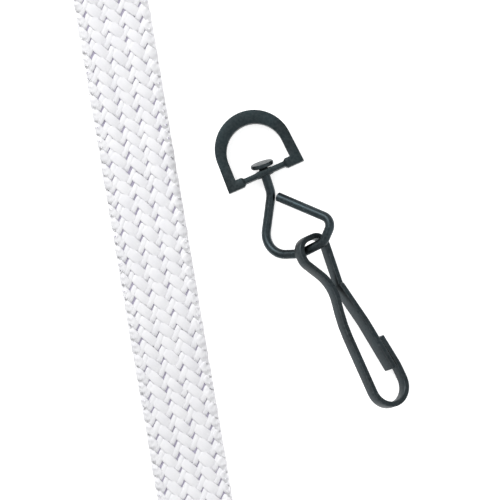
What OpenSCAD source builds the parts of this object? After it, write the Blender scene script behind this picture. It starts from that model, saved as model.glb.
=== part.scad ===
// Lanyard: a closed loop of flat tubular braid with a steel crimp, and a swivel hook on a D-ring.
// Millimetres. +Z is up off the surface that everything lies on, and the origin is on that surface,
// under the middle of the D-ring, swivel link and hook.

/* [Strap] */
// Width of the flattened braid, nominal 3/8 in stock
strap_w = 10.7; // [8:0.1:10.8]
// Thickness of the flattened braid
strap_t = 1.2; // [0.8:0.1:1.6]
// Length of the whole loop, measured along the braid
loop_length = 914; // [700:1:1000]
// Lean of the straight run to the left of +Y, in degrees
strap_lean = 9.6; // [0:0.1:15]
// Gap between neighbouring turns of the roll, middle to middle
turn_pitch = 3.9; // [3:0.1:5]
// Radius of the innermost turn of the roll
roll_in = 16; // [12:1:20]

/* [Crimp] */
// Width of the steel band across the strap
crimp_w = 12; // [11.6:0.2:15]
// Length of the steel band along the strap
crimp_l = 8; // [6:0.5:8]
// Height of the closed band
crimp_h = 3.6; // [3.6:0.1:4.5]
// Thickness of the band
crimp_t = 0.5; // [0.3:0.05:0.55]

/* [D-ring] */
// Outer width across the two base corners
ring_w = 12.3; // [11.8:0.1:13]
// Outer radius of the bow
bow_out = 5.9; // [5.8:0.05:6]
// Inner radius of the bow
bow_in = 4.35; // [4.2:0.05:4.5]
// Thickness of the ring, from its lower face to its upper face
ring_t = 2.2; // [1.8:0.1:2.4]
// Height of the base corner blocks, from the outer base line to the opening
base_h = 1.46; // [1.3:0.02:1.6]
// Length of the coined bar between the corner blocks
bar_l = 7.1; // [6:0.1:7.4]
// Thickness of the coined bar along the pin
bar_t = 0.8; // [0.7:0.05:0.85]
// Breadth of the coined bar, up and down
bar_b = 3; // [2.8:0.1:3]
// Radius of the pin hole
hole_r = 1; // [0.95:0.01:1.05]

/* [Swivel link] */
// Diameter of the wire
wire_d = 1.4; // [1.3:0.05:1.4]
// Diameter of the upset head
head_d = 3.5; // [3.2:0.1:3.5]
// Thickness of the upset head
head_t = 0.6; // [0.3:0.05:0.6]
// Roll of the wire loop, right side up, in degrees
loop_roll = 25; // [24:0.5:26]

/* [Hook] */
// Thickness of the spring-steel strip
strip_t = 0.85; // [0.7:0.05:0.85]
// Width of the spring-steel strip
strip_w = 1.75; // [1.5:0.05:1.75]
// Width of the flattened gate leg
gate_w = 2.4; // [1.75:0.05:2.4]
// Roll of the hook, left side up, in degrees
hook_roll = 32; // [31:0.5:33]
// Gap round the root of the gate
gate_gap = 0.08; // [0.05:0.01:0.1]

/* [Hidden] */
$fn = 48;
black = [0.2, 0.23, 0.24];
white = [0.93, 0.93, 0.95];

// Middle of the pin hole, and the bend where the wire leaves the pin's line
hole_at = [-7.4, 12.9, 1.52];
neck_at = [-6.4, 9.8, 0.8];
pin_dir = (hole_at - neck_at) / norm(hole_at - neck_at);

// The D-ring: its base line rises to the right, and its bow leans down onto the surface
ring_turn = 24.1;
ring_tilt = 2.3;
bow_out_at = 3.87;
bow_in_at = 3.35;
boss_r = 1.3;
boss_h = 0.13;

// The wire: distance from the hole's middle to the underside of the head, and the bend points of
// the loop in its own plane, from the neck round to the cut end, with a bend radius for each
head_from = 1.03;
loop_lean = 8.2;
loop_bends = [[0, 0], [0.1, -9.3], [6.2, -8.3], [9.6, -6.1], [10.6, -2.65], [1.2, -0.3]];
wire_radii = [0, 3, 3.2, 5, 1.8, 1.5, 0];

// The hook strip lies in its own plane, +Y towards the eye: bend points and radii
hook_at = [11.6, -21.9, 2.95];
hook_lean = 25.7;
hook_pitch = 1.5;
gate_root = [0.68, 19.5];
hook_bends = [gate_root, [1.95, 27.9], [-3.1, 28], [-3.05, 24.9], [-0.29, 20.2], [-1.75, 14],
    [-2.2, 0], [3.75, 0], [3.85, 5], [3.25, 9.9]];
hook_radii = [0, 1.8, 1.9, 2.2, 6, 20, 2.95, 2.95, 8, 0];
gate_bends = [gate_root, [1.85, 13], [2.72, 4.95]];
gate_radii = [0, 10, 0];
facet_angle = 11;

// The pair of strap strands, one on the other. Each row is the distance along the run from the cut
// ends, the height of the pair's middle, how far the pair has twisted on edge, and the distance
// between the two strands' middles.
strap_end = [-15.4, -50.4];
route = [
    [0.4, 1.8, 0, 1.25],
    [8, 1.8, 0, 1.25],
    [12, 1.65, 0, 1.25],
    [17, 1.35, 0, 1.25],
    [22, 1.25, 0, 1.25],
    [32, 1.5, 0, 1.25],
    [42, 1.85, 0, 1.25],
    [54, 1.85, 0, 1.25],
    [63, 1.5, 0, 1.25],
    [72, 1.25, 0, 1.25],
    [90, 1.25, 0, 1.25],
    [94, 1.7, 4, 1.3],
    [97, 2.7, 14, 1.6],
    [100, 4, 29, 2.1],
    [103, 5.1, 46, 2.7],
    [106, 5.6, 63, 3.2],
    [109, 5.55, 77, 3.5],
    [112, 5.25, 86, 3.6],
    [115, 5.05, 90, 3.6]
];
roll_from = 128;
top_end = [[124, 5.05, 90, 3.6]];
under_end = [[116, 5.05, 90, 3.6]];

// The roll is wound with two strands side by side, so that each strand's turns lie two pitches
// apart. The radius to the middle of the outermost pair follows from the length that is left over.
centre_bend = PI * roll_in;
left_over = loop_length - 2 * roll_from - centre_bend;
roll_mid = sqrt(roll_in * roll_in + left_over * turn_pitch / PI - turn_pitch * turn_pitch / 4);
roll_out = roll_mid + turn_pitch / 2;
roll_at = [roll_from, roll_mid];
roll_h = 10.1;

function unit(v) = v / norm(v);
function flat3(p) = [p[0], p[1], 0];
function turned(p, a) = [p[0] * cos(a) - p[1] * sin(a), p[0] * sin(a) + p[1] * cos(a)];

// A place given along the strap and across it, as a point of the part
function by_strap(s, side) = strap_end + turned([side, s], strap_lean);

// A point of the wire loop's plane, as a point of the part
function by_loop(p) =
    let (q = turned([p[0] * cos(loop_roll), p[1]], -loop_lean))
    neck_at + [q[0], q[1], p[0] * sin(loop_roll)];

// A frame whose X, Y and Z run along x, y and z, and whose origin is at
function frame_at(x, y, z, at) = [
    [x[0], y[0], z[0], at[0]],
    [x[1], y[1], z[1], at[1]],
    [x[2], y[2], z[2], at[2]],
    [0, 0, 0, 1]
];

// Bent stock: directions, turning angle and the length that a bend takes off each straight
function way(p, i) = unit(p[i + 1] - p[i]);
function turn_at(p, i) = acos(way(p, i - 1) * way(p, i));
function setback(p, r, i) = r[i] == 0 ? 0 : r[i] * tan(turn_at(p, i) / 2);

// Runs the outline given as its child along straights and round bends
module bent_stock(p, r) {
    for (i = [0:len(p) - 2]) {
        along = way(p, i);
        across = unit(cross([0, 0, 1], along));
        from = p[i] + along * setback(p, r, i);
        run = norm(p[i + 1] - p[i]) - setback(p, r, i) - setback(p, r, i + 1);
        multmatrix(frame_at(across, cross(along, across), along, from))
            linear_extrude(run)
                children();
    }
    for (i = [1:len(p) - 2]) {
        along = way(p, i - 1);
        axis = unit(cross(along, way(p, i)));
        inward = cross(axis, along);
        centre = p[i] - along * setback(p, r, i) + inward * r[i];
        multmatrix(frame_at(-inward, along, axis, centre))
            rotate_extrude(angle = turn_at(p, i), $fn = 96)
                translate([r[i], 0])
                    children();
    }
}

// A bend in a flat line: which side it turns to, 1 for left, its centre, and the points of an edge
// that runs off to the left of the line
function left_of(d) = [-d[1], d[0]];
function hand(p, i) = cross(way(p, i - 1), way(p, i)) > 0 ? 1 : -1;
function bend_centre(p, r, i) =
    p[i] - way(p, i - 1) * setback(p, r, i) + left_of(way(p, i - 1)) * hand(p, i) * r[i];
function bend_edge(p, r, i, off) =
    let (steps = ceil(turn_at(p, i) / facet_angle))
    let (start = -left_of(way(p, i - 1)) * hand(p, i) * (r[i] - hand(p, i) * off))
    [for (k = [0:steps]) bend_centre(p, r, i) + turned(start, hand(p, i) * turn_at(p, i) * k / steps)];

// One whole edge of a bent strip, from its first point to its last
function strip_edge(p, r, off) =
    let (last = len(p) - 1)
    [
        p[0] + left_of(way(p, 0)) * off,
        for (i = [1:last - 1]) each bend_edge(p, r, i, off),
        p[last] + left_of(way(p, last - 1)) * off
    ];
function reversed(list) = [for (k = [len(list) - 1:-1:0]) list[k]];

// A flat strip, standing on edge, bent along a line in the XY plane
module bent_strip(p, r, wide = strip_w) {
    linear_extrude(wide, center = true)
        polygon(concat(strip_edge(p, r, strip_t / 2), reversed(strip_edge(p, r, -strip_t / 2))));
}

// One strand of the pair: a flat tube with rounded edges, side is 1 for the upper strand
module strand(rows, side) {
    w = strap_w / 2;
    t = strap_t / 2;
    outline = [[w, t / 2], [w - t, t], [t - w, t], [-w, t / 2],
        [-w, -t / 2], [t - w, -t], [w - t, -t], [w, -t / 2]];
    sides = len(outline);
    rings = len(rows);
    points = [
        for (row = rows)
            let (lift = side * row[3] / 2)
            for (o = outline)
                let (across = turned([o[0], o[1] + lift], row[2]))
                let (at = by_strap(row[0], across[0]))
                [at[0], at[1], row[1] + across[1]]
    ];
    walls = [
        for (k = [0:rings - 2], j = [0:sides - 1])
            let (n = (j + 1) % sides, low = k * sides, high = (k + 1) * sides)
            each [[low + j, high + n, high + j], [low + j, low + n, high + n]]
    ];
    first = [for (j = [0:sides - 1]) sides - 1 - j];
    last = [for (j = [0:sides - 1]) (rings - 1) * sides + j];
    polyhedron(points, concat(walls, [first, last]), convexity = 4);
}

module strap_top() {
    color(white)
        strand(concat(route, top_end), 1);
}

module strap_under() {
    color(white)
        strand(concat(route, under_end), -1);
}

// Outer shape of the rolled-up strap, standing on its edge
module strap_roll() {
    at = by_strap(roll_at[0], roll_at[1]);
    color(white)
        translate([at[0], at[1], 0])
            rotate_extrude($fn = 96)
                square([roll_out + strap_t / 2, roll_h]);
}

// A rectangle with round corners
module soft_square(w, h, r) {
    square([w - 2 * r, h], center = true);
    square([w, h - 2 * r], center = true);
    for (x = [-1, 1], y = [-1, 1])
        translate([x * (w / 2 - r), y * (h / 2 - r)])
            circle(r);
}

// A steel band folded round both strap ends, its seam underneath, with two punched dents on top
module crimp() {
    dent_r = 2;
    dent_depth = 0.25;
    seam = 0.5;
    color(black)
        translate(concat(by_strap(0, 0), [crimp_h / 2]))
            rotate([0, 0, strap_lean])
                difference() {
                    rotate([-90, 0, 0])
                        linear_extrude(crimp_l)
                            difference() {
                                soft_square(crimp_w, crimp_h, 0.9);
                                soft_square(crimp_w - 2 * crimp_t, crimp_h - 2 * crimp_t, 0.4);
                                translate([-seam / 2, crimp_h / 2 - 2 * crimp_t])
                                    square([seam, 3 * crimp_t]);
                            }
                    for (x = [-1, 1])
                        translate([x * crimp_w / 4, crimp_l / 2, crimp_h / 2 - dent_depth + dent_r])
                            sphere(dent_r);
                }
}

// Half of the D-ring's outline: a circle on a trapezoid that widens to the base
module bow_outline(r, at, half_base, base) {
    translate([0, at])
        circle(r, $fn = 96);
    polygon([[-half_base, base], [half_base, base], [r, at], [-r, at]]);
}

module d_ring() {
    half = ring_w / 2;
    leg = half - 1.7;
    color(black)
        translate(hole_at)
            rotate([-ring_tilt, 0, ring_turn])
                difference() {
                    union() {
                        difference() {
                            linear_extrude(ring_t, center = true)
                                difference() {
                                    bow_outline(bow_out, bow_out_at, half, -base_h / 2);
                                    bow_outline(bow_in, bow_in_at, leg, base_h / 2);
                                }
                            cube([bar_l, 3 * base_h, 2 * bar_b], center = true);
                        }
                        cube([bar_l + 0.2, bar_t, bar_b], center = true);
                        rotate([-90, 0, 0])
                            cylinder(h = bar_t / 2 + boss_h, r = boss_r);
                    }
                    rotate([-90, 0, 0])
                        cylinder(h = 4 * bar_t, r = hole_r, center = true);
                }
}

// One wire: an upset head, the pin through the D-ring, and a loop whose cut end butts near the neck
module swivel_link() {
    head_at = hole_at + pin_dir * head_from;
    bends = concat([head_at + pin_dir * head_t / 2], [for (p = loop_bends) by_loop(p)]);
    across = unit(cross([0, 0, 1], pin_dir));
    rim = 0.08;
    color(black) {
        bent_stock(bends, wire_radii)
            circle(d = wire_d);
        multmatrix(frame_at(cross(pin_dir, across), -across, pin_dir, head_at))
            rotate_extrude($fn = 96)
                polygon([[0, 0], [head_d / 2 - rim, 0], [head_d / 2, rim],
                    [head_d / 2, head_t - rim], [head_d / 2 - rim, head_t], [0, head_t]]);
    }
}

module place_hook() {
    translate(hook_at)
        rotate([hook_pitch, 0, hook_lean])
            rotate([0, hook_roll, 0])
                children();
}

// The strip from the root of the gate round the eye, down the long leg, round the bend, to the nose
module hook() {
    color(black)
        place_hook()
            difference() {
                bent_strip(hook_bends, hook_radii);
                translate(flat3(gate_root))
                    cylinder(h = 2 * strip_w, r = strip_t / 2 + gate_gap, center = true);
            }
}

// The springing leg of the same strip, which bears on the nose from inside
module gate() {
    color(black)
        place_hook() {
            bent_strip(gate_bends, gate_radii, gate_w);
            translate(flat3(gate_root))
                cylinder(h = gate_w, r = strip_t / 2, center = true);
        }
}

strap_top();
strap_under();
strap_roll();
crimp();
d_ring();
swivel_link();
hook();
gate();
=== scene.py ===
import math

import bmesh
import bpy
import numpy as np
from mathutils import Matrix, Vector


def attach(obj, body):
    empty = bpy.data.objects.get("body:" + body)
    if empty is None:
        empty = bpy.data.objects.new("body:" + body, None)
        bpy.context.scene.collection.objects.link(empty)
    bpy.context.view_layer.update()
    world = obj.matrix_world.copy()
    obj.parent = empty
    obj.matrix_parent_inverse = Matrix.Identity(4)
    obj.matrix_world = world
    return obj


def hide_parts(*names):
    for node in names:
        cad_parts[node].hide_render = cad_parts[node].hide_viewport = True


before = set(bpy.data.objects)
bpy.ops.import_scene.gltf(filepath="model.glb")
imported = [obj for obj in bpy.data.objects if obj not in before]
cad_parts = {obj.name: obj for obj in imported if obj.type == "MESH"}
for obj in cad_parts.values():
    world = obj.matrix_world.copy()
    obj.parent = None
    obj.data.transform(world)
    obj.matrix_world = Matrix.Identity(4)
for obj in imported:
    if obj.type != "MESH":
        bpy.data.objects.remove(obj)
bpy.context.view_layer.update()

mm = 0.001

# Camera. A long lens on a copy stand, looking straight down, with the strap entering at the left.
camera_over = (-9.6, 1.35)
camera_height = 418.2
camera = bpy.data.objects.new("camera", bpy.data.cameras.new("camera"))
camera.data.lens = 200
camera.data.sensor_width = 36
camera.location = (camera_over[0] * mm, camera_over[1] * mm, camera_height * mm)
camera.data.clip_start = 0.05
bpy.context.scene.collection.objects.link(camera)
bpy.context.scene.camera = camera
bpy.context.scene.view_settings.view_transform = "Standard"

# Light table and lamps. A bright white sheet in a pale room, one large soft box beyond the far left
# corner of the table, and a weak one across from it.
sheet_size = 3
sheet_white = 0.9
sheet_glow = 0.62
room_light = 0.74
lamps = {
    "lamp_key": {"at": (-190, 230, 330), "size": 260, "watts": 1.0},
    "lamp_fill": {"at": (330, -160, 380), "size": 400, "watts": 0.25},
}

bpy.ops.mesh.primitive_plane_add(size=sheet_size)
sheet = bpy.context.object
sheet.name = "light_table"
sheet.data.materials.append(bpy.data.materials.new("light_table"))
sheet.data.materials[0].use_nodes = True
skin = sheet.data.materials[0].node_tree.nodes["Principled BSDF"]
skin.inputs["Base Color"].default_value = (sheet_white, sheet_white, sheet_white, 1)
skin.inputs["Roughness"].default_value = 0.9
skin.inputs["Specular IOR Level"].default_value = 0
skin.inputs["Emission Color"].default_value = (1, 1, 1, 1)
skin.inputs["Emission Strength"].default_value = sheet_glow

room = bpy.data.worlds.new("room")
room.use_nodes = True
room.node_tree.nodes["Background"].inputs["Color"].default_value = (1, 1, 1, 1)
room.node_tree.nodes["Background"].inputs["Strength"].default_value = room_light
bpy.context.scene.world = room

for name, lamp in lamps.items():
    light = bpy.data.objects.new(name, bpy.data.lights.new(name, "AREA"))
    light.data.shape = "DISK"
    light.data.size = lamp["size"] * mm
    light.data.energy = lamp["watts"]
    light.location = [x * mm for x in lamp["at"]]
    light.rotation_euler = light.location.to_track_quat("Z", "Y").to_euler()
    bpy.context.scene.collection.objects.link(light)

# Strap. One flat tubular braid of 32 polyester yarns, 10.7 mm wide and 914 mm long. It leaves the
# crimp, lies straight, twists on edge, is wound up with the strand below it, turns back through the
# middle of the roll and comes back underneath itself to the crimp.
strap_end = (-15.4, -50.4)
strap_lean = math.radians(9.6)
loop_length = 914
turn_pitch = 3.9
roll_in = 16
roll_from = 128
first_s = 0.4
route = [  # along the run, height of the pair's middle, degrees on edge, gap between the strands
    (0.4, 1.8, 0, 1.25), (8, 1.8, 0, 1.25), (12, 1.65, 0, 1.25), (17, 1.35, 0, 1.25),
    (22, 1.25, 0, 1.25), (32, 1.5, 0, 1.25), (42, 1.85, 0, 1.25), (54, 1.85, 0, 1.25),
    (63, 1.5, 0, 1.25), (72, 1.25, 0, 1.25), (90, 1.25, 0, 1.25), (94, 1.7, 4, 1.3),
    (97, 2.7, 14, 1.6), (100, 4, 29, 2.1), (103, 5.1, 46, 2.7), (106, 5.6, 63, 3.2),
    (109, 5.55, 77, 3.5), (112, 5.25, 86, 3.75), (115, 5.05, 90, 3.9), (128, 5.05, 90, 3.9),
]
centre_bend = math.pi * roll_in
left_over = loop_length - 2 * roll_from - centre_bend
roll_mid = math.sqrt(roll_in**2 + left_over * turn_pitch / math.pi - turn_pitch**2 / 4)
roll_out = roll_mid + turn_pitch / 2
roll_height = route[-1][1]
fine_step = 0.25
turn_back_steps = 120


def eased(values, reach=8):
    """The values with their corners rounded off over a few steps each way."""
    weights = np.hanning(2 * reach + 1)
    padded = np.pad(values, reach, mode="edge")
    return np.convolve(padded, weights / weights.sum(), mode="valid")


def strand(side):
    """Centre line and width direction of one strand of the pair, in (across, along, up)."""
    along = np.arange(first_s, roll_from, fine_step)
    height, edge, gap = (
        eased(np.interp(along, [row[0] for row in route], [row[k] for row in route]))
        for k in (1, 2, 3)
    )
    edge = np.radians(edge)
    lift = side * gap / 2
    flat = np.zeros_like(along)
    line = np.stack([-lift * np.sin(edge), along, height + lift * np.cos(edge)], axis=1)
    return line, np.stack([np.cos(edge), flat, np.sin(edge)], axis=1)


def on_roll(radius, turned):
    """Points of the roll at a radius and a clockwise turn from its left-hand side."""
    up = np.full_like(turned, roll_height)
    return np.stack(
        [roll_mid - radius * np.cos(turned), roll_from + radius * np.sin(turned), up], axis=1
    )


def winding(outer):
    """One strand's spiral, from the outside of the roll in to its innermost turn."""
    turns = (outer - roll_in) / (2 * turn_pitch)
    count = int(turns * 2 * math.pi * outer / fine_step)
    turned = np.linspace(0, turns * 2 * math.pi, count)
    return on_roll(outer - turned / math.pi * turn_pitch, turned)


def turn_back(first, last):
    """The S through the middle of the roll, from one innermost turn to the other."""
    middle = (first + last) / 2
    half = []
    for start, way in ((first, -1), (last, -1)):
        hub = (start + middle) / 2
        arm = (start - hub)[:2]
        angles = np.linspace(0, math.pi, turn_back_steps) * way
        spun = np.stack(
            [
                hub[0] + arm[0] * np.cos(angles) - arm[1] * np.sin(angles),
                hub[1] + arm[0] * np.sin(angles) + arm[1] * np.cos(angles),
                np.full_like(angles, roll_height),
            ],
            axis=1,
        )
        half.append(spun)
    return np.concatenate([half[0], half[1][::-1][1:]])


def whole_loop():
    """The strap's centre line and width directions in the part's own axes, in metres."""
    upper, upper_wide = strand(1)
    lower, lower_wide = strand(-1)
    outer, inner = winding(roll_out), winding(roll_out - turn_pitch)
    middle = turn_back(outer[-1], inner[-1])
    line = np.concatenate([upper, outer, middle[1:-1], inner[::-1], lower[::-1]])
    wound = len(outer) + len(middle) - 2 + len(inner)
    wide = np.concatenate([upper_wide, np.tile([0, 0, 1.0], (wound, 1)), lower_wide[::-1]])
    to_part = np.array(
        [
            [math.cos(strap_lean), math.sin(strap_lean), 0],
            [-math.sin(strap_lean), math.cos(strap_lean), 0],
            [0, 0, 1],
        ]
    )
    return (line @ to_part + [*strap_end, 0]) * mm, wide @ to_part


def unit(rows):
    """Each row at length one."""
    return rows / np.linalg.norm(rows, axis=1, keepdims=True)


loop_line, loop_wide = whole_loop()
steps = np.linalg.norm(np.diff(loop_line, axis=0), axis=1)
loop_at = np.concatenate([[0], np.cumsum(steps)]) / mm
loop_along = unit(np.gradient(loop_line, loop_at, axis=0))
loop_wide = unit(loop_wide - loop_along * (loop_wide * loop_along).sum(1)[:, None])
loop_out = np.cross(loop_wide, loop_along)


def laid(across, along, up):
    """Puts points given across, along and above the middle of a straight strap on the route.

    Past either end of the strap the route runs straight on.
    """
    line, wide, out = (
        np.stack([np.interp(along, loop_at, rows[:, k]) for k in range(3)], axis=1)
        for rows in (loop_line, loop_wide, loop_out)
    )
    beyond = along - np.clip(along, 0, loop_at[-1])
    way = np.where(beyond[:, None] < 0, loop_along[0], loop_along[-1]) * beyond[:, None]
    return line + (wide * across[:, None] + out * up[:, None]) * mm + way * mm


def corners_of(mesh):
    """The places of a mesh's points, one row each."""
    rows = np.zeros(len(mesh.vertices) * 3)
    mesh.vertices.foreach_get("co", rows)
    return rows.reshape(-1, 3)


def shown(name, source, material, body, sharp=35):
    """Makes a finished piece of a bmesh or a mesh: smooth-shaded, at the origin, on its body."""
    mesh = source
    if isinstance(source, bmesh.types.BMesh):
        mesh = bpy.data.meshes.new(name)
        bmesh.ops.recalc_face_normals(source, faces=source.faces)
        source.to_mesh(mesh)
        source.free()
    mesh.name = name
    mesh.shade_smooth()
    mesh.set_sharp_from_angle(angle=math.radians(sharp))
    mesh.materials.clear()
    mesh.materials.append(material)
    piece = bpy.data.objects.new(name, mesh)
    bpy.context.scene.collection.objects.link(piece)
    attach(piece, body)
    return piece


yarn_white = (0.92, 0.92, 0.94)
yarn_shade = (0.87, 0.87, 0.9)
# the inner layer's dark grey-violet is painted shade: white yarn darkened to stand in for the shade in
# the gaps between the floats
inside_painted_shade = (0.46, 0.43, 0.55)
inside_darkest = 0.7  # of inside_painted_shade, in the deepest grain
inside_grain = 1500
filaments_across, filaments_along = 16, 1.4
filament_lay = math.radians(9)
filament_high = 0.00006
yarn_patches = 420


def nodes_of(name):
    """A new material with its nodes, its links and its shader."""
    material = bpy.data.materials.new(name)
    material.use_nodes = True
    tree = material.node_tree
    return material, tree.nodes, tree.links, tree.nodes["Principled BSDF"]


def noise(nodes, links, vector, scale, detail=2):
    """A noise pattern laid out by a vector socket. Returns the socket of its strength."""
    pattern = nodes.new("ShaderNodeTexNoise")
    pattern.inputs["Scale"].default_value = scale
    pattern.inputs["Detail"].default_value = detail
    links.new(vector, pattern.inputs["Vector"])
    return pattern.outputs["Fac"]


def two_tones(nodes, links, strength, low, high, places=(0, 1)):
    """A blend from one colour to another by a strength socket. Returns the colour socket."""
    tone = nodes.new("ShaderNodeValToRGB")
    for stop, place, colour in zip(tone.color_ramp.elements, places, (low, high)):
        stop.position = place
        stop.color = (*colour, 1)
    links.new(strength, tone.inputs["Fac"])
    return tone.outputs["Color"]


def relief(nodes, links, skin, height, strength, distance):
    """Fine relief on a finish, from the socket of a pattern's strength."""
    bump = nodes.new("ShaderNodeBump")
    bump.inputs["Strength"].default_value = strength
    bump.inputs["Distance"].default_value = distance
    links.new(height, bump.inputs["Height"])
    links.new(bump.outputs["Normal"], skin.inputs["Normal"])


def braid_yarn():
    """Matt white filament yarn: fine filaments along each float, and a little unevenness."""
    material, nodes, links, skin = nodes_of("white_braid")
    place = nodes.new("ShaderNodeTexCoord")
    stretch = nodes.new("ShaderNodeMapping")
    stretch.inputs["Scale"].default_value = (filaments_across, filaments_along, 1)
    stretch.inputs["Rotation"].default_value = (0, 0, filament_lay)
    links.new(place.outputs["UV"], stretch.inputs["Vector"])
    filaments = noise(nodes, links, stretch.outputs["Vector"], scale=1, detail=3)
    relief(nodes, links, skin, filaments, strength=0.35, distance=filament_high)
    uneven = noise(nodes, links, place.outputs["Object"], scale=yarn_patches)
    tone = two_tones(nodes, links, uneven, yarn_shade, yarn_white, places=(0.3, 0.6))
    links.new(tone, skin.inputs["Base Color"])
    skin.inputs["Roughness"].default_value = 0.7
    skin.inputs["Specular IOR Level"].default_value = 0.3
    skin.inputs["Sheen Weight"].default_value = 0.15
    return material


def braid_inside():
    """The inner side of the same white yarns, seen in the gaps, painted dark grey-violet as painted
    shade, with a random darker grain.
    """
    material, nodes, links, skin = nodes_of("white_braid_inside_painted_shade")
    place = nodes.new("ShaderNodeTexCoord")
    grain = noise(nodes, links, place.outputs["Object"], scale=inside_grain)
    deepest = [inside_darkest * c for c in inside_painted_shade]
    tone = two_tones(nodes, links, grain, deepest, inside_painted_shade)
    links.new(tone, skin.inputs["Base Color"])
    skin.inputs["Roughness"].default_value = 0.9
    return material


# the inner layer: the tube pressed flat, which the floats lie on; its colour is painted shade, standing
# in for the shade seen in the gaps
side_radius = 0.3
side_round = 0.28
straight_half = 4.95
ribbon_cuts = 1000
route_length = loop_at[-1]
bm = bmesh.new()
bmesh.ops.create_cube(bm)
ribbon_wide, ribbon_thick = 2 * (straight_half + side_radius), 2 * side_radius
bmesh.ops.scale(bm, verts=bm.verts, vec=(ribbon_wide, route_length, ribbon_thick))
bmesh.ops.translate(bm, verts=bm.verts, vec=(0, route_length / 2, 0))
long_edges = [e for e in bm.edges if abs(e.verts[0].co.y - e.verts[1].co.y) > 1]
bmesh.ops.bevel(
    bm, geom=long_edges, offset=side_round, offset_type="OFFSET", segments=3, profile=0.5,
    affect="EDGES", material=-1,
)
long_edges = [e for e in bm.edges if abs(e.verts[0].co.y - e.verts[1].co.y) > 1]
bmesh.ops.subdivide_edges(bm, edges=long_edges, cuts=ribbon_cuts, use_grid_fill=True)
mesh = bpy.data.meshes.new("strap")
bm.to_mesh(mesh)
bm.free()
flat_place = corners_of(mesh)
mesh.vertices.foreach_set("co", laid(*flat_place.T).ravel())
strap = shown("strap", mesh, braid_inside(), "strap")
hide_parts("strap_top", "strap_under", "strap_roll")

# the floats: each yarn shows on top for two crossings, then dives under its neighbour
columns = 16
round_tube = 4 * straight_half + 2 * math.pi * side_radius
float_pitch = 2.07
row_count = round(route_length / float_pitch)
row_pitch = route_length / row_count
braid_angle = math.radians(34)
braid_skew = 0.25  # how far the rows rise across the strap
yarn_wide = 1.28
yarn_thick = 0.26
yarn_square = 0.62  # 1 is a round yarn, less is a flatter one
yarn_end_narrow = 0.35
float_half = 1.55
slim = 0.8  # the columns that lean right, against the mean width
broad = 1.12  # the columns that lean left, which are longer too
float_top = 0.3
float_dip = 0.27
dip_from = 0.5  # how far along a float's half its end starts to dip
side_dip = 0.3  # how much of the dip is left on the folded sides
broad_raise = 0.05
slow_change = 0.07  # how much the floats swell and shrink along the strap
slow_by_row, slow_by_column = 0.37, 2.1
width_varies, lean_varies, height_varies = 0.05, 0.03, 0.02
across_varies, along_varies = 0.05, 0.06
seed = 7


def yarn_float(sides, rings):
    """One float along Y: a flat bar with round sides and narrower ends. Its UVs run across and along."""
    bm = bmesh.new()
    ring = bmesh.ops.create_circle(bm, cap_ends=True, segments=sides, radius=1)["verts"]
    end = ring[0].link_faces[0]
    bmesh.ops.rotate(bm, verts=bm.verts, matrix=Matrix.Rotation(math.pi / 2, 3, "X"))
    places = [-math.cos(math.pi * k / (rings - 1)) for k in range(rings)]
    for k in range(1, rings):
        grown = bmesh.ops.extrude_face_region(bm, geom=[end])["geom"]
        end = next(g for g in grown if isinstance(g, bmesh.types.BMFace))
        bmesh.ops.translate(bm, verts=end.verts, vec=(0, places[k] - places[k - 1], 0))
    bmesh.ops.translate(bm, verts=bm.verts, vec=(0, -1, 0))
    bmesh.ops.recalc_face_normals(bm, faces=bm.faces)
    layer = bm.loops.layers.uv.new("along_yarn")
    for face in bm.faces:
        for corner in face.loops:
            corner[layer].uv = (corner.vert.co.x, corner.vert.co.y)
    for vert in bm.verts:
        narrow = 1 - yarn_end_narrow * abs(vert.co.y) ** 6
        x, z = (math.copysign(abs(c) ** yarn_square, c) for c in (vert.co.x, vert.co.z))
        vert.co = (
            x * narrow * yarn_wide / 2, vert.co.y * float_half, z * narrow * yarn_thick / 2,
        )
    return bm


def braided(name, first_row, last_row, sides, rings, dice):
    """A stretch of the braid: one float per column and row, laid round the tube along the route."""
    bm = yarn_float(sides, rings)
    single = bpy.data.meshes.new(name)
    bm.to_mesh(single)
    bm.free()
    rows = last_row - first_row
    maker = bpy.data.objects.new(name, single)
    bpy.context.scene.collection.objects.link(maker)
    repeat = maker.modifiers.new("floats", "ARRAY")
    repeat.count = columns * rows
    mesh = bpy.data.meshes.new_from_object(
        maker.evaluated_get(bpy.context.evaluated_depsgraph_get())
    )
    bpy.data.objects.remove(maker)
    single_place = corners_of(single)
    count = columns * rows
    column = np.tile(np.arange(columns), rows)[:, None]
    row = np.repeat(np.arange(first_row, last_row), columns)[:, None]
    x, y, z = (np.tile(single_place[:, k], (count, 1)) for k in range(3))
    side = np.where(column % 2 == 1, 1, -1)
    fat = np.where(side > 0, slim, broad) * (1 + dice.normal(0, width_varies, (count, 1)))
    fat = fat * (1 + slow_change * np.sin(slow_by_row * row + slow_by_column * column))
    y = y * broad ** -side
    lean = side * (braid_angle + dice.normal(0, lean_varies, (count, 1)))
    past = (np.abs(y) / float_half * broad ** side - dip_from) / (1 - dip_from)
    dip = float_dip * np.clip(past, 0, 1) ** 2
    dip = dip * np.where(column % (columns // 2) == columns // 4, side_dip, 1)
    middle_high = float_top - yarn_thick / 2 + dice.normal(0, height_varies, (count, 1))
    high = middle_high + z - broad_raise * side - dip
    round_at = column * round_tube / columns + dice.normal(0, across_varies, (count, 1))
    round_at = round_at + x * fat * np.cos(lean) + y * np.sin(lean)
    along = (row + 0.5 * (column % 2) + 0.25) * row_pitch
    along = along + dice.normal(0, along_varies, (count, 1))
    along = along - x * fat * np.sin(lean) + y * np.cos(lean)
    places = on_tube(round_at.ravel(), along.ravel(), high.ravel())
    mesh.vertices.foreach_set("co", places.ravel())
    return shown(name, mesh, yarn_finish, "strap", sharp=180)


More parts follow.
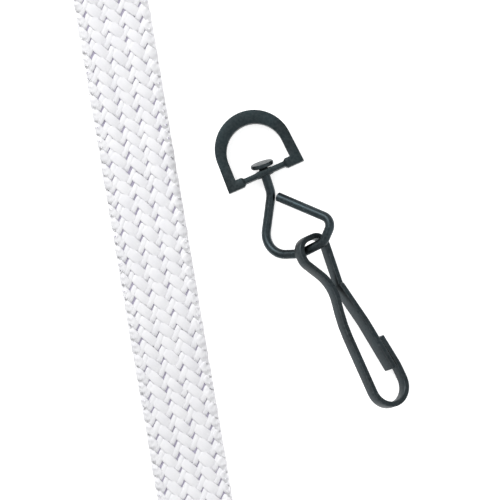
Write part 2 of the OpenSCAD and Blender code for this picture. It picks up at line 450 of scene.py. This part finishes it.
def on_tube(round_at, along, high):
    """Points at a place round the flattened tube, along it and above its wall."""
    side_bend = math.pi * side_radius
    flat = 2 * straight_half
    at = np.mod(round_at - straight_half, round_tube)  # from the start of the right-hand bend
    across, up = np.zeros_like(at), np.zeros_like(at)
    reach = side_radius + high
    bend = at < side_bend
    angle = at / side_radius
    across[bend] = (straight_half + reach * np.sin(angle))[bend]
    up[bend] = (reach * np.cos(angle))[bend]
    under = (at >= side_bend) & (at < side_bend + flat)
    across[under] = (straight_half - (at - side_bend))[under]
    up[under] = -reach[under]
    bend = (at >= side_bend + flat) & (at < 2 * side_bend + flat)
    angle = (at - side_bend - flat) / side_radius
    across[bend] = (-straight_half - reach * np.sin(angle))[bend]
    up[bend] = (-reach * np.cos(angle))[bend]
    top = at >= 2 * side_bend + flat
    across[top] = (-straight_half + (at - 2 * side_bend - flat))[top]
    up[top] = reach[top]
    return laid(across, along + braid_skew * across, up)


yarn_finish = braid_yarn()
dice = np.random.default_rng(seed)
fine_rows = 47
stretch_count = 3
stretches = np.linspace(fine_rows, row_count, stretch_count + 1).astype(int)
braid = [braided("braid_face", 0, fine_rows, sides=8, rings=7, dice=dice)]
for k in range(stretch_count):
    first, last = stretches[k], stretches[k + 1]
    braid.append(braided(f"braid_{k + 1}", first, last, sides=6, rings=5, dice=dice))

# Crimp. A steel strip folded round both strap ends, pressed shut with its seam underneath and two
# punched dents on top that bite into the braid.
crimp_wide = 12
crimp_long = 8
crimp_high = 3.6
crimp_wall = 0.5
crimp_seam = 0.5
crimp_round = 0.9
dent_radius = 1.1
dent_depth = 0.35
cut_step = 0.5


def worn_edges(bm, full_angle=50):
    """Marks every point with how sharp its sharpest edge is, for wear on the outer edges."""
    layer = bm.verts.layers.float.new("worn")
    for vert in bm.verts:
        sharpest = max((e.calc_face_angle_signed(0) for e in vert.link_edges), default=0)
        vert[layer] = min(1, max(0, math.degrees(sharpest) / full_angle))


def black_oxide(name, dark, bare, roughness, wear=0.5, mottle=260, grain=2600):
    """Oiled black oxide on steel: cloudy tone, fine grain, paler where the edges are rubbed."""
    material, nodes, links, skin = nodes_of(name)
    place = nodes.new("ShaderNodeTexCoord")
    clouds = noise(nodes, links, place.outputs["Object"], scale=mottle, detail=4)
    fine = noise(nodes, links, place.outputs["Object"], scale=grain, detail=3)
    darker, paler = ([c * share for c in dark] for share in (0.72, 1.25))
    tone = two_tones(nodes, links, clouds, darker, paler, places=(0.35, 0.65))
    worn = nodes.new("ShaderNodeAttribute")
    worn.attribute_name = "worn"
    rub = nodes.new("ShaderNodeMath")
    rub.operation = "MULTIPLY"
    links.new(worn.outputs["Fac"], rub.inputs[0])
    links.new(fine, rub.inputs[1])
    amount = nodes.new("ShaderNodeMath")
    amount.operation = "MULTIPLY"
    amount.inputs[1].default_value = wear
    links.new(rub.outputs["Value"], amount.inputs[0])
    mix = nodes.new("ShaderNodeMix")
    mix.data_type = "RGBA"
    mix.inputs["B"].default_value = (*bare, 1)
    links.new(amount.outputs["Value"], mix.inputs["Factor"])
    links.new(tone, mix.inputs["A"])
    links.new(mix.outputs["Result"], skin.inputs["Base Color"])
    gloss = nodes.new("ShaderNodeMapRange")
    gloss.inputs["From Min"].default_value = 0.3
    gloss.inputs["From Max"].default_value = 0.7
    gloss.inputs["To Min"].default_value = roughness - 0.07
    gloss.inputs["To Max"].default_value = roughness + 0.1
    links.new(fine, gloss.inputs["Value"])
    links.new(gloss.outputs["Result"], skin.inputs["Roughness"])
    relief(nodes, links, skin, fine, strength=0.25, distance=0.00003)
    skin.inputs["Metallic"].default_value = 1
    return material


def in_part(bm, *turns):
    """Takes a mesh made in millimetres in its own axes to its place in the part."""
    place = Matrix.Scale(mm, 4)
    for turn in turns:
        place = place @ turn
    bmesh.ops.transform(bm, matrix=place, verts=bm.verts)


def spin_z(degrees):
    """A turn about Z."""
    return Matrix.Rotation(math.radians(degrees), 4, "Z")


bm = bmesh.new()
bmesh.ops.create_cube(bm)
bmesh.ops.scale(bm, verts=bm.verts, vec=(crimp_wide, crimp_long, crimp_high))
bmesh.ops.delete(bm, geom=[f for f in bm.faces if abs(f.normal.y) > 0.5], context="FACES_ONLY")
folds = [e for e in bm.edges if abs(e.verts[0].co.y - e.verts[1].co.y) > 1]
bmesh.ops.bevel(
    bm, geom=folds, offset=crimp_round, offset_type="OFFSET", segments=6, profile=0.5,
    affect="EDGES", material=-1,
)
across, lengthways = Vector((1, 0, 0)), Vector((0, 1, 0))
last_x, last_y = crimp_wide / 2 - 2 * cut_step, crimp_long / 2 - cut_step
cuts = [(x, across) for x in np.arange(-last_x, last_x + 0.01, cut_step)]
cuts += [(y, lengthways) for y in np.arange(-last_y, last_y + 0.01, cut_step)]
cuts += [(x, across) for x in (-crimp_seam / 2, crimp_seam / 2)]
for place, way in cuts:
    bmesh.ops.bisect_plane(
        bm, geom=[*bm.verts, *bm.edges, *bm.faces], dist=1e-6,
        plane_co=way * place, plane_no=way,
    )
centres = [(f, f.calc_center_median()) for f in bm.faces]
seam = [f for f, centre in centres if centre.z < 0 and abs(centre.x) < crimp_seam / 2]
bmesh.ops.delete(bm, geom=seam, context="FACES")
dents = (-crimp_wide / 4, crimp_wide / 4)
for vert in bm.verts:
    if vert.co.z > crimp_high / 2 - 0.01:
        near = min(math.hypot(vert.co.x - x, vert.co.y) for x in dents)
        vert.co.z -= dent_depth * max(0, 1 - (near / dent_radius) ** 2)
bmesh.ops.recalc_face_normals(bm, faces=bm.faces)
bmesh.ops.solidify(bm, geom=bm.faces[:], thickness=crimp_wall)
bmesh.ops.recalc_face_normals(bm, faces=bm.faces)
worn_edges(bm)
in_part(
    bm,
    Matrix.Translation((*strap_end, crimp_high / 2)),
    Matrix.Rotation(strap_lean, 4, "Z"),
    Matrix.Translation((0, crimp_long / 2, 0)),
)
crimp_steel = black_oxide("crimp_steel", (0.009, 0.018, 0.021), (0.3, 0.31, 0.32), 0.42)
crimp = shown("crimp_band", bm, crimp_steel, "strap")
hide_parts("crimp")

# D-ring. Flat steel bent to a bow, with its straight base coined thin between two corner blocks and
# punched for the pin of the swivel link. It lies with its base towards the hook.
hole_at = Vector((-7.4, 12.9, 1.52))
ring_turn = 24.1
ring_tilt = 2.3
ring_wide = 12.3
bow_out, bow_out_at = 5.9, 3.87
bow_in, bow_in_at = 4.35, 3.35
ring_thick = 2.2
base_high = 1.46
bar_long = 7.1
bar_thick = 0.8
bar_broad = 3.0
leg_wide = 1.7
shoulder = 0.35
hole_radius = 1.0
drill_deep = 4
boss_radius = 1.3
boss_high = 0.13
ring_edge = 0.16


def outline(bm, radius, at, half_base, base, steps=56):
    """A bow on two straight legs, closed along the base. Returns its edges."""
    known = set(bm.edges)
    first = bm.verts.new((half_base, base, 0))
    bow_start = bm.verts.new((radius, at, 0))
    bm.edges.new((first, bow_start))
    spun = bmesh.ops.spin(
        bm, geom=[bow_start], cent=(0, at, 0), axis=(0, 0, 1), angle=math.pi, steps=steps
    )["geom_last"]
    bow_end = next(g for g in spun if isinstance(g, bmesh.types.BMVert))
    last = bm.verts.new((-half_base, base, 0))
    bm.edges.new((bow_end, last))
    bm.edges.new((last, first))
    return [e for e in bm.edges if e not in known]


bm = bmesh.new()
half = ring_wide / 2
loops = outline(bm, bow_out, bow_out_at, half, -base_high / 2)
loops += outline(bm, bow_in, bow_in_at, half - leg_wide, base_high / 2)
flat_ring = bmesh.ops.bridge_loops(bm, edges=loops)["faces"]
grown = bmesh.ops.extrude_face_region(bm, geom=flat_ring)["geom"]
upper = [g for g in grown if isinstance(g, bmesh.types.BMVert)]
bmesh.ops.translate(bm, verts=upper, vec=(0, 0, ring_thick))
bmesh.ops.translate(bm, verts=bm.verts, vec=(0, 0, -ring_thick / 2))
over_base = base_high / 2 + 0.05
for place in (-bar_long / 2, -bar_long / 2 + shoulder, bar_long / 2 - shoulder, bar_long / 2):
    base_faces = [f for f in bm.faces if f.calc_center_median().y < over_base]
    parts = {*base_faces}
    parts.update(e for f in base_faces for e in f.edges)
    parts.update(v for f in base_faces for v in f.verts)
    bmesh.ops.bisect_plane(
        bm, geom=list(parts), dist=1e-6, plane_co=(place, 0, 0), plane_no=(1, 0, 0)
    )
for vert in bm.verts:
    if vert.co.y < over_base and abs(vert.co.x) < bar_long / 2 - shoulder + 0.01:
        vert.co.y *= bar_thick / base_high
        vert.co.z *= bar_broad / ring_thick
bmesh.ops.recalc_face_normals(bm, faces=bm.faces)
ring_body = bpy.data.meshes.new("ring_body")
bm.to_mesh(ring_body)
bm.free()


def drilled(name, mesh, boss_bm, drill_bm, width, segments):
    """The mesh with a boss raised, a hole cut and its real edges rounded, as a new bmesh."""
    stock = bpy.data.objects.new(name, mesh)
    bpy.context.scene.collection.objects.link(stock)
    tools = []
    for operation, tool_bm in (("UNION", boss_bm), ("DIFFERENCE", drill_bm)):
        tool_mesh = bpy.data.meshes.new("tool")
        tool_bm.to_mesh(tool_mesh)
        tool_bm.free()
        tool = bpy.data.objects.new("tool", tool_mesh)
        bpy.context.scene.collection.objects.link(tool)
        cut = stock.modifiers.new(operation.lower(), "BOOLEAN")
        cut.object = tool
        cut.operation = operation
        cut.solver = "EXACT"
        tools.append(tool)
    soft = stock.modifiers.new("edges", "BEVEL")
    soft.width = width
    soft.segments = segments
    soft.limit_method = "ANGLE"
    soft.angle_limit = math.radians(32)
    result = bpy.data.meshes.new_from_object(
        stock.evaluated_get(bpy.context.evaluated_depsgraph_get())
    )
    for o in (stock, *tools):
        bpy.data.objects.remove(o)
    bm = bmesh.new()
    bm.from_mesh(result)
    return bm


boss = bmesh.new()
bmesh.ops.create_cone(
    boss, cap_ends=True, segments=32, radius1=boss_radius, radius2=boss_radius,
    depth=bar_thick + 2 * boss_high, matrix=Matrix.Rotation(math.pi / 2, 4, "X"),
)
drill = bmesh.new()
bmesh.ops.create_cone(
    drill, cap_ends=True, segments=32, radius1=hole_radius, radius2=hole_radius,
    depth=drill_deep, matrix=Matrix.Rotation(math.pi / 2, 4, "X"),
)
bm = drilled("ring_body", ring_body, boss, drill, ring_edge, 3)
worn_edges(bm)
in_part(
    bm, Matrix.Translation(hole_at), spin_z(ring_turn),
    Matrix.Rotation(math.radians(-ring_tilt), 4, "X"),
)
ring_steel = black_oxide("ring_steel", (0.008, 0.018, 0.021), (0.3, 0.32, 0.33), 0.45)
d_ring = shown("ring_d", bm, ring_steel, "ring")
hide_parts("d_ring")

# Swivel link. One length of 1.4 mm steel wire: its end is upset to a flat head that keeps it in the
# D-ring's hole, and the rest is bent to a heart-shaped loop whose cut end stops short of the neck.
neck_at = Vector((-6.4, 9.8, 0.8))
wire_thick = 1.4
head_wide = 3.5
head_thick = 0.6
head_rim = 0.12
head_from = 1.03
crown = 0.06
cut_round, cut_narrow = 0.08, 0.86
loop_roll = math.radians(25)
loop_lean = math.radians(8.2)
loop_bends = [(0, 0), (0.1, -9.3), (6.2, -8.3), (9.6, -6.1), (10.6, -2.65), (1.2, -0.3)]
wire_radii = [0, 3, 3.2, 5, 1.8, 1.5, 0]


def by_loop(x, y):
    """A point of the wire loop's own plane, as a point of the part."""
    flat = Matrix.Rotation(-loop_lean, 2) @ Vector((x * math.cos(loop_roll), y))
    return neck_at + Vector((flat.x, flat.y, x * math.sin(loop_roll)))


def pushed(bm, end, move, widen=1.0):
    """Carries the end of a bar on by a move, and makes it wider or narrower."""
    grown = bmesh.ops.extrude_face_region(bm, geom=[end])["geom"]
    end = next(g for g in grown if isinstance(g, bmesh.types.BMFace))
    bmesh.ops.translate(bm, verts=end.verts, vec=move)
    if widen != 1:
        middle = end.calc_center_median()
        bmesh.ops.scale(
            bm, verts=end.verts, vec=(widen, widen, widen), space=Matrix.Translation(-middle)
        )
    return end


def bent(bm, end, points, radii, piece=0.6, degrees=7):
    """Carries the end of a bar along straights and round bends, as a wire former does."""
    ways = [(b - a).normalized() for a, b in zip(points, points[1:])]
    turns = [0, *(a.angle(b) for a, b in zip(ways, ways[1:])), 0]
    backs = [r * math.tan(t / 2) for r, t in zip(radii, turns)]
    for k, way in enumerate(ways):
        run = (points[k + 1] - points[k]).length - backs[k] - backs[k + 1]
        pieces = max(1, round(run / piece))
        for _ in range(pieces):
            end = pushed(bm, end, way * run / pieces)
        if k + 1 < len(ways):
            axis = way.cross(ways[k + 1]).normalized()
            hub = points[k + 1] - way * backs[k + 1] + axis.cross(way) * radii[k + 1]
            spun = bmesh.ops.spin(
                bm, geom=[end, *end.edges, *end.verts], cent=hub, axis=axis,
                angle=turns[k + 1], steps=max(2, round(math.degrees(turns[k + 1]) / degrees)),
            )["geom_last"]
            end = next(g for g in spun if isinstance(g, bmesh.types.BMFace))
    return end


pin_way = (hole_at - neck_at).normalized()
head_at = hole_at + pin_way * head_from
bm = bmesh.new()
face_up = Vector((0, 0, 1)).rotation_difference(pin_way).to_matrix().to_4x4()
head = bmesh.ops.create_circle(
    bm, cap_ends=True, segments=24, radius=head_wide / 4,
    matrix=Matrix.Translation(head_at + pin_way * (head_thick + crown)) @ face_up,
)["verts"][0].link_faces[0]
half_head = head_wide / 2
head = pushed(bm, head, -pin_way * crown, (half_head - head_rim) / (half_head / 2))
head = pushed(bm, head, -pin_way * head_rim, half_head / (half_head - head_rim))
head = pushed(bm, head, -pin_way * (head_thick - 2 * head_rim))
head = pushed(bm, head, -pin_way * head_rim, (half_head - head_rim) / half_head)
head = pushed(bm, head, Vector((0, 0, 0)), wire_thick / 2 / (half_head - head_rim))
wire_points = [head_at, *(by_loop(*p) for p in loop_bends)]
cut = bent(bm, head, wire_points, wire_radii)
cut_way = (wire_points[-1] - wire_points[-2]).normalized()
cut = pushed(bm, cut, cut_way * cut_round, cut_narrow)
bmesh.ops.recalc_face_normals(bm, faces=bm.faces)
worn_edges(bm)
in_part(bm)
wire_steel = black_oxide("wire_steel", (0.012, 0.023, 0.028), (0.35, 0.37, 0.38), 0.36)
link = shown("link_wire", bm, wire_steel, "link")
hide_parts("swivel_link")

# Hook. Flat spring-steel strip on edge, bent round an eye that hangs on the wire, down a long leg
# and round to the nose. Its other end is the gate, which springs against the nose from inside.
hook_at = Vector((11.6, -21.9, 2.95))
hook_lean = 25.7
hook_pitch = 1.5
hook_roll = 32
strip_thick = 0.85
strip_wide = 1.75
strip_edge = 0.17
root_steps = 6
root_thinnest = 0.1
nose_round, nose_narrow = 0.05, 0.9
gate_root = (0.68, 19.5)
hook_bends = [
    gate_root, (1.95, 27.9), (-3.1, 28), (-3.05, 24.9), (-0.29, 20.2), (-1.75, 14),
    (-2.2, 0), (3.75, 0), (3.85, 5), (3.25, 9.9),
]
hook_radii = [0, 1.8, 1.9, 2.2, 6, 20, 2.95, 2.95, 8, 0]
gate_bends = [gate_root, (1.85, 13), (2.72, 4.95)]
gate_radii = [0, 10, 0]


def strip_end(bm, at, way, wide):
    """The cut face of the strip, with its drawn edges rounded, square to the way it runs."""
    across = Vector((0, 0, 1)).cross(way)
    place = Matrix((across, Vector((0, 0, 1)), -way)).transposed().to_4x4()
    place.translation = at
    bmesh.ops.create_grid(bm, x_segments=1, y_segments=1, size=0.5)
    bmesh.ops.scale(bm, verts=bm.verts, vec=(strip_thick, wide, 1))
    bmesh.ops.bevel(
        bm, geom=bm.verts[:], offset=strip_edge, offset_type="OFFSET", segments=3, profile=0.5,
        affect="VERTICES", material=-1,
    )
    bmesh.ops.transform(bm, matrix=place, verts=bm.verts)
    bm.faces.ensure_lookup_table()
    return bm.faces[0]


def formed_strip(bends, radii, wide=strip_wide):
    """Strip bent along a line in its own plane, with a round root at its first point."""
    points = [Vector((*p, 0)) for p in bends]
    way = (points[1] - points[0]).normalized()
    bm = bmesh.new()
    half_strip = strip_thick / 2
    tip = strip_end(bm, points[0] - way * half_strip, way, wide)
    bmesh.ops.scale(
        bm, verts=tip.verts, vec=(root_thinnest, 1, 1),
        space=(Matrix.Translation(points[0] - way * half_strip) @ turned_to(way)).inverted(),
    )
    end = tip
    for k in range(1, root_steps + 1):
        before, now = (math.radians(90 * j / root_steps) for j in (k - 1, k))
        end = pushed(bm, end, way * half_strip * (math.cos(before) - math.cos(now)))
        swell = max(root_thinnest, math.sin(now)) / max(root_thinnest, math.sin(before))
        middle = end.calc_center_median()
        bmesh.ops.scale(
            bm, verts=end.verts, vec=(swell, 1, 1),
            space=(Matrix.Translation(middle) @ turned_to(way)).inverted(),
        )
    end = bent(bm, end, points, radii, piece=1.2, degrees=6)
    end_way = (points[-1] - points[-2]).normalized()
    pushed(bm, end, end_way * nose_round, nose_narrow)
    bmesh.ops.recalc_face_normals(bm, faces=bm.faces)
    worn_edges(bm)
    in_part(
        bm, Matrix.Translation(hook_at), spin_z(hook_lean),
        Matrix.Rotation(math.radians(hook_pitch), 4, "X"),
        Matrix.Rotation(math.radians(hook_roll), 4, "Y"),
    )
    return bm


def turned_to(way):
    """Axes with X across the strip and Z along its width."""
    across = Vector((0, 0, 1)).cross(way)
    return Matrix((across, way, Vector((0, 0, 1)))).transposed().to_4x4()


spring_steel = black_oxide("spring_steel", (0.008, 0.017, 0.021), (0.36, 0.38, 0.39), 0.42)
hook_body = formed_strip(hook_bends, hook_radii)
hook = shown("hook_strip", hook_body, spring_steel, "hook_body")
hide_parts("hook")

# Gate. The springing leg of the same strip, flattened broader, and free from where the two legs
# meet.
gate_wide = 2.4
gate_body = formed_strip(gate_bends, gate_radii, gate_wide)
gate = shown("hook_gate", gate_body, spring_steel, "gate_leg")
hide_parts("gate")
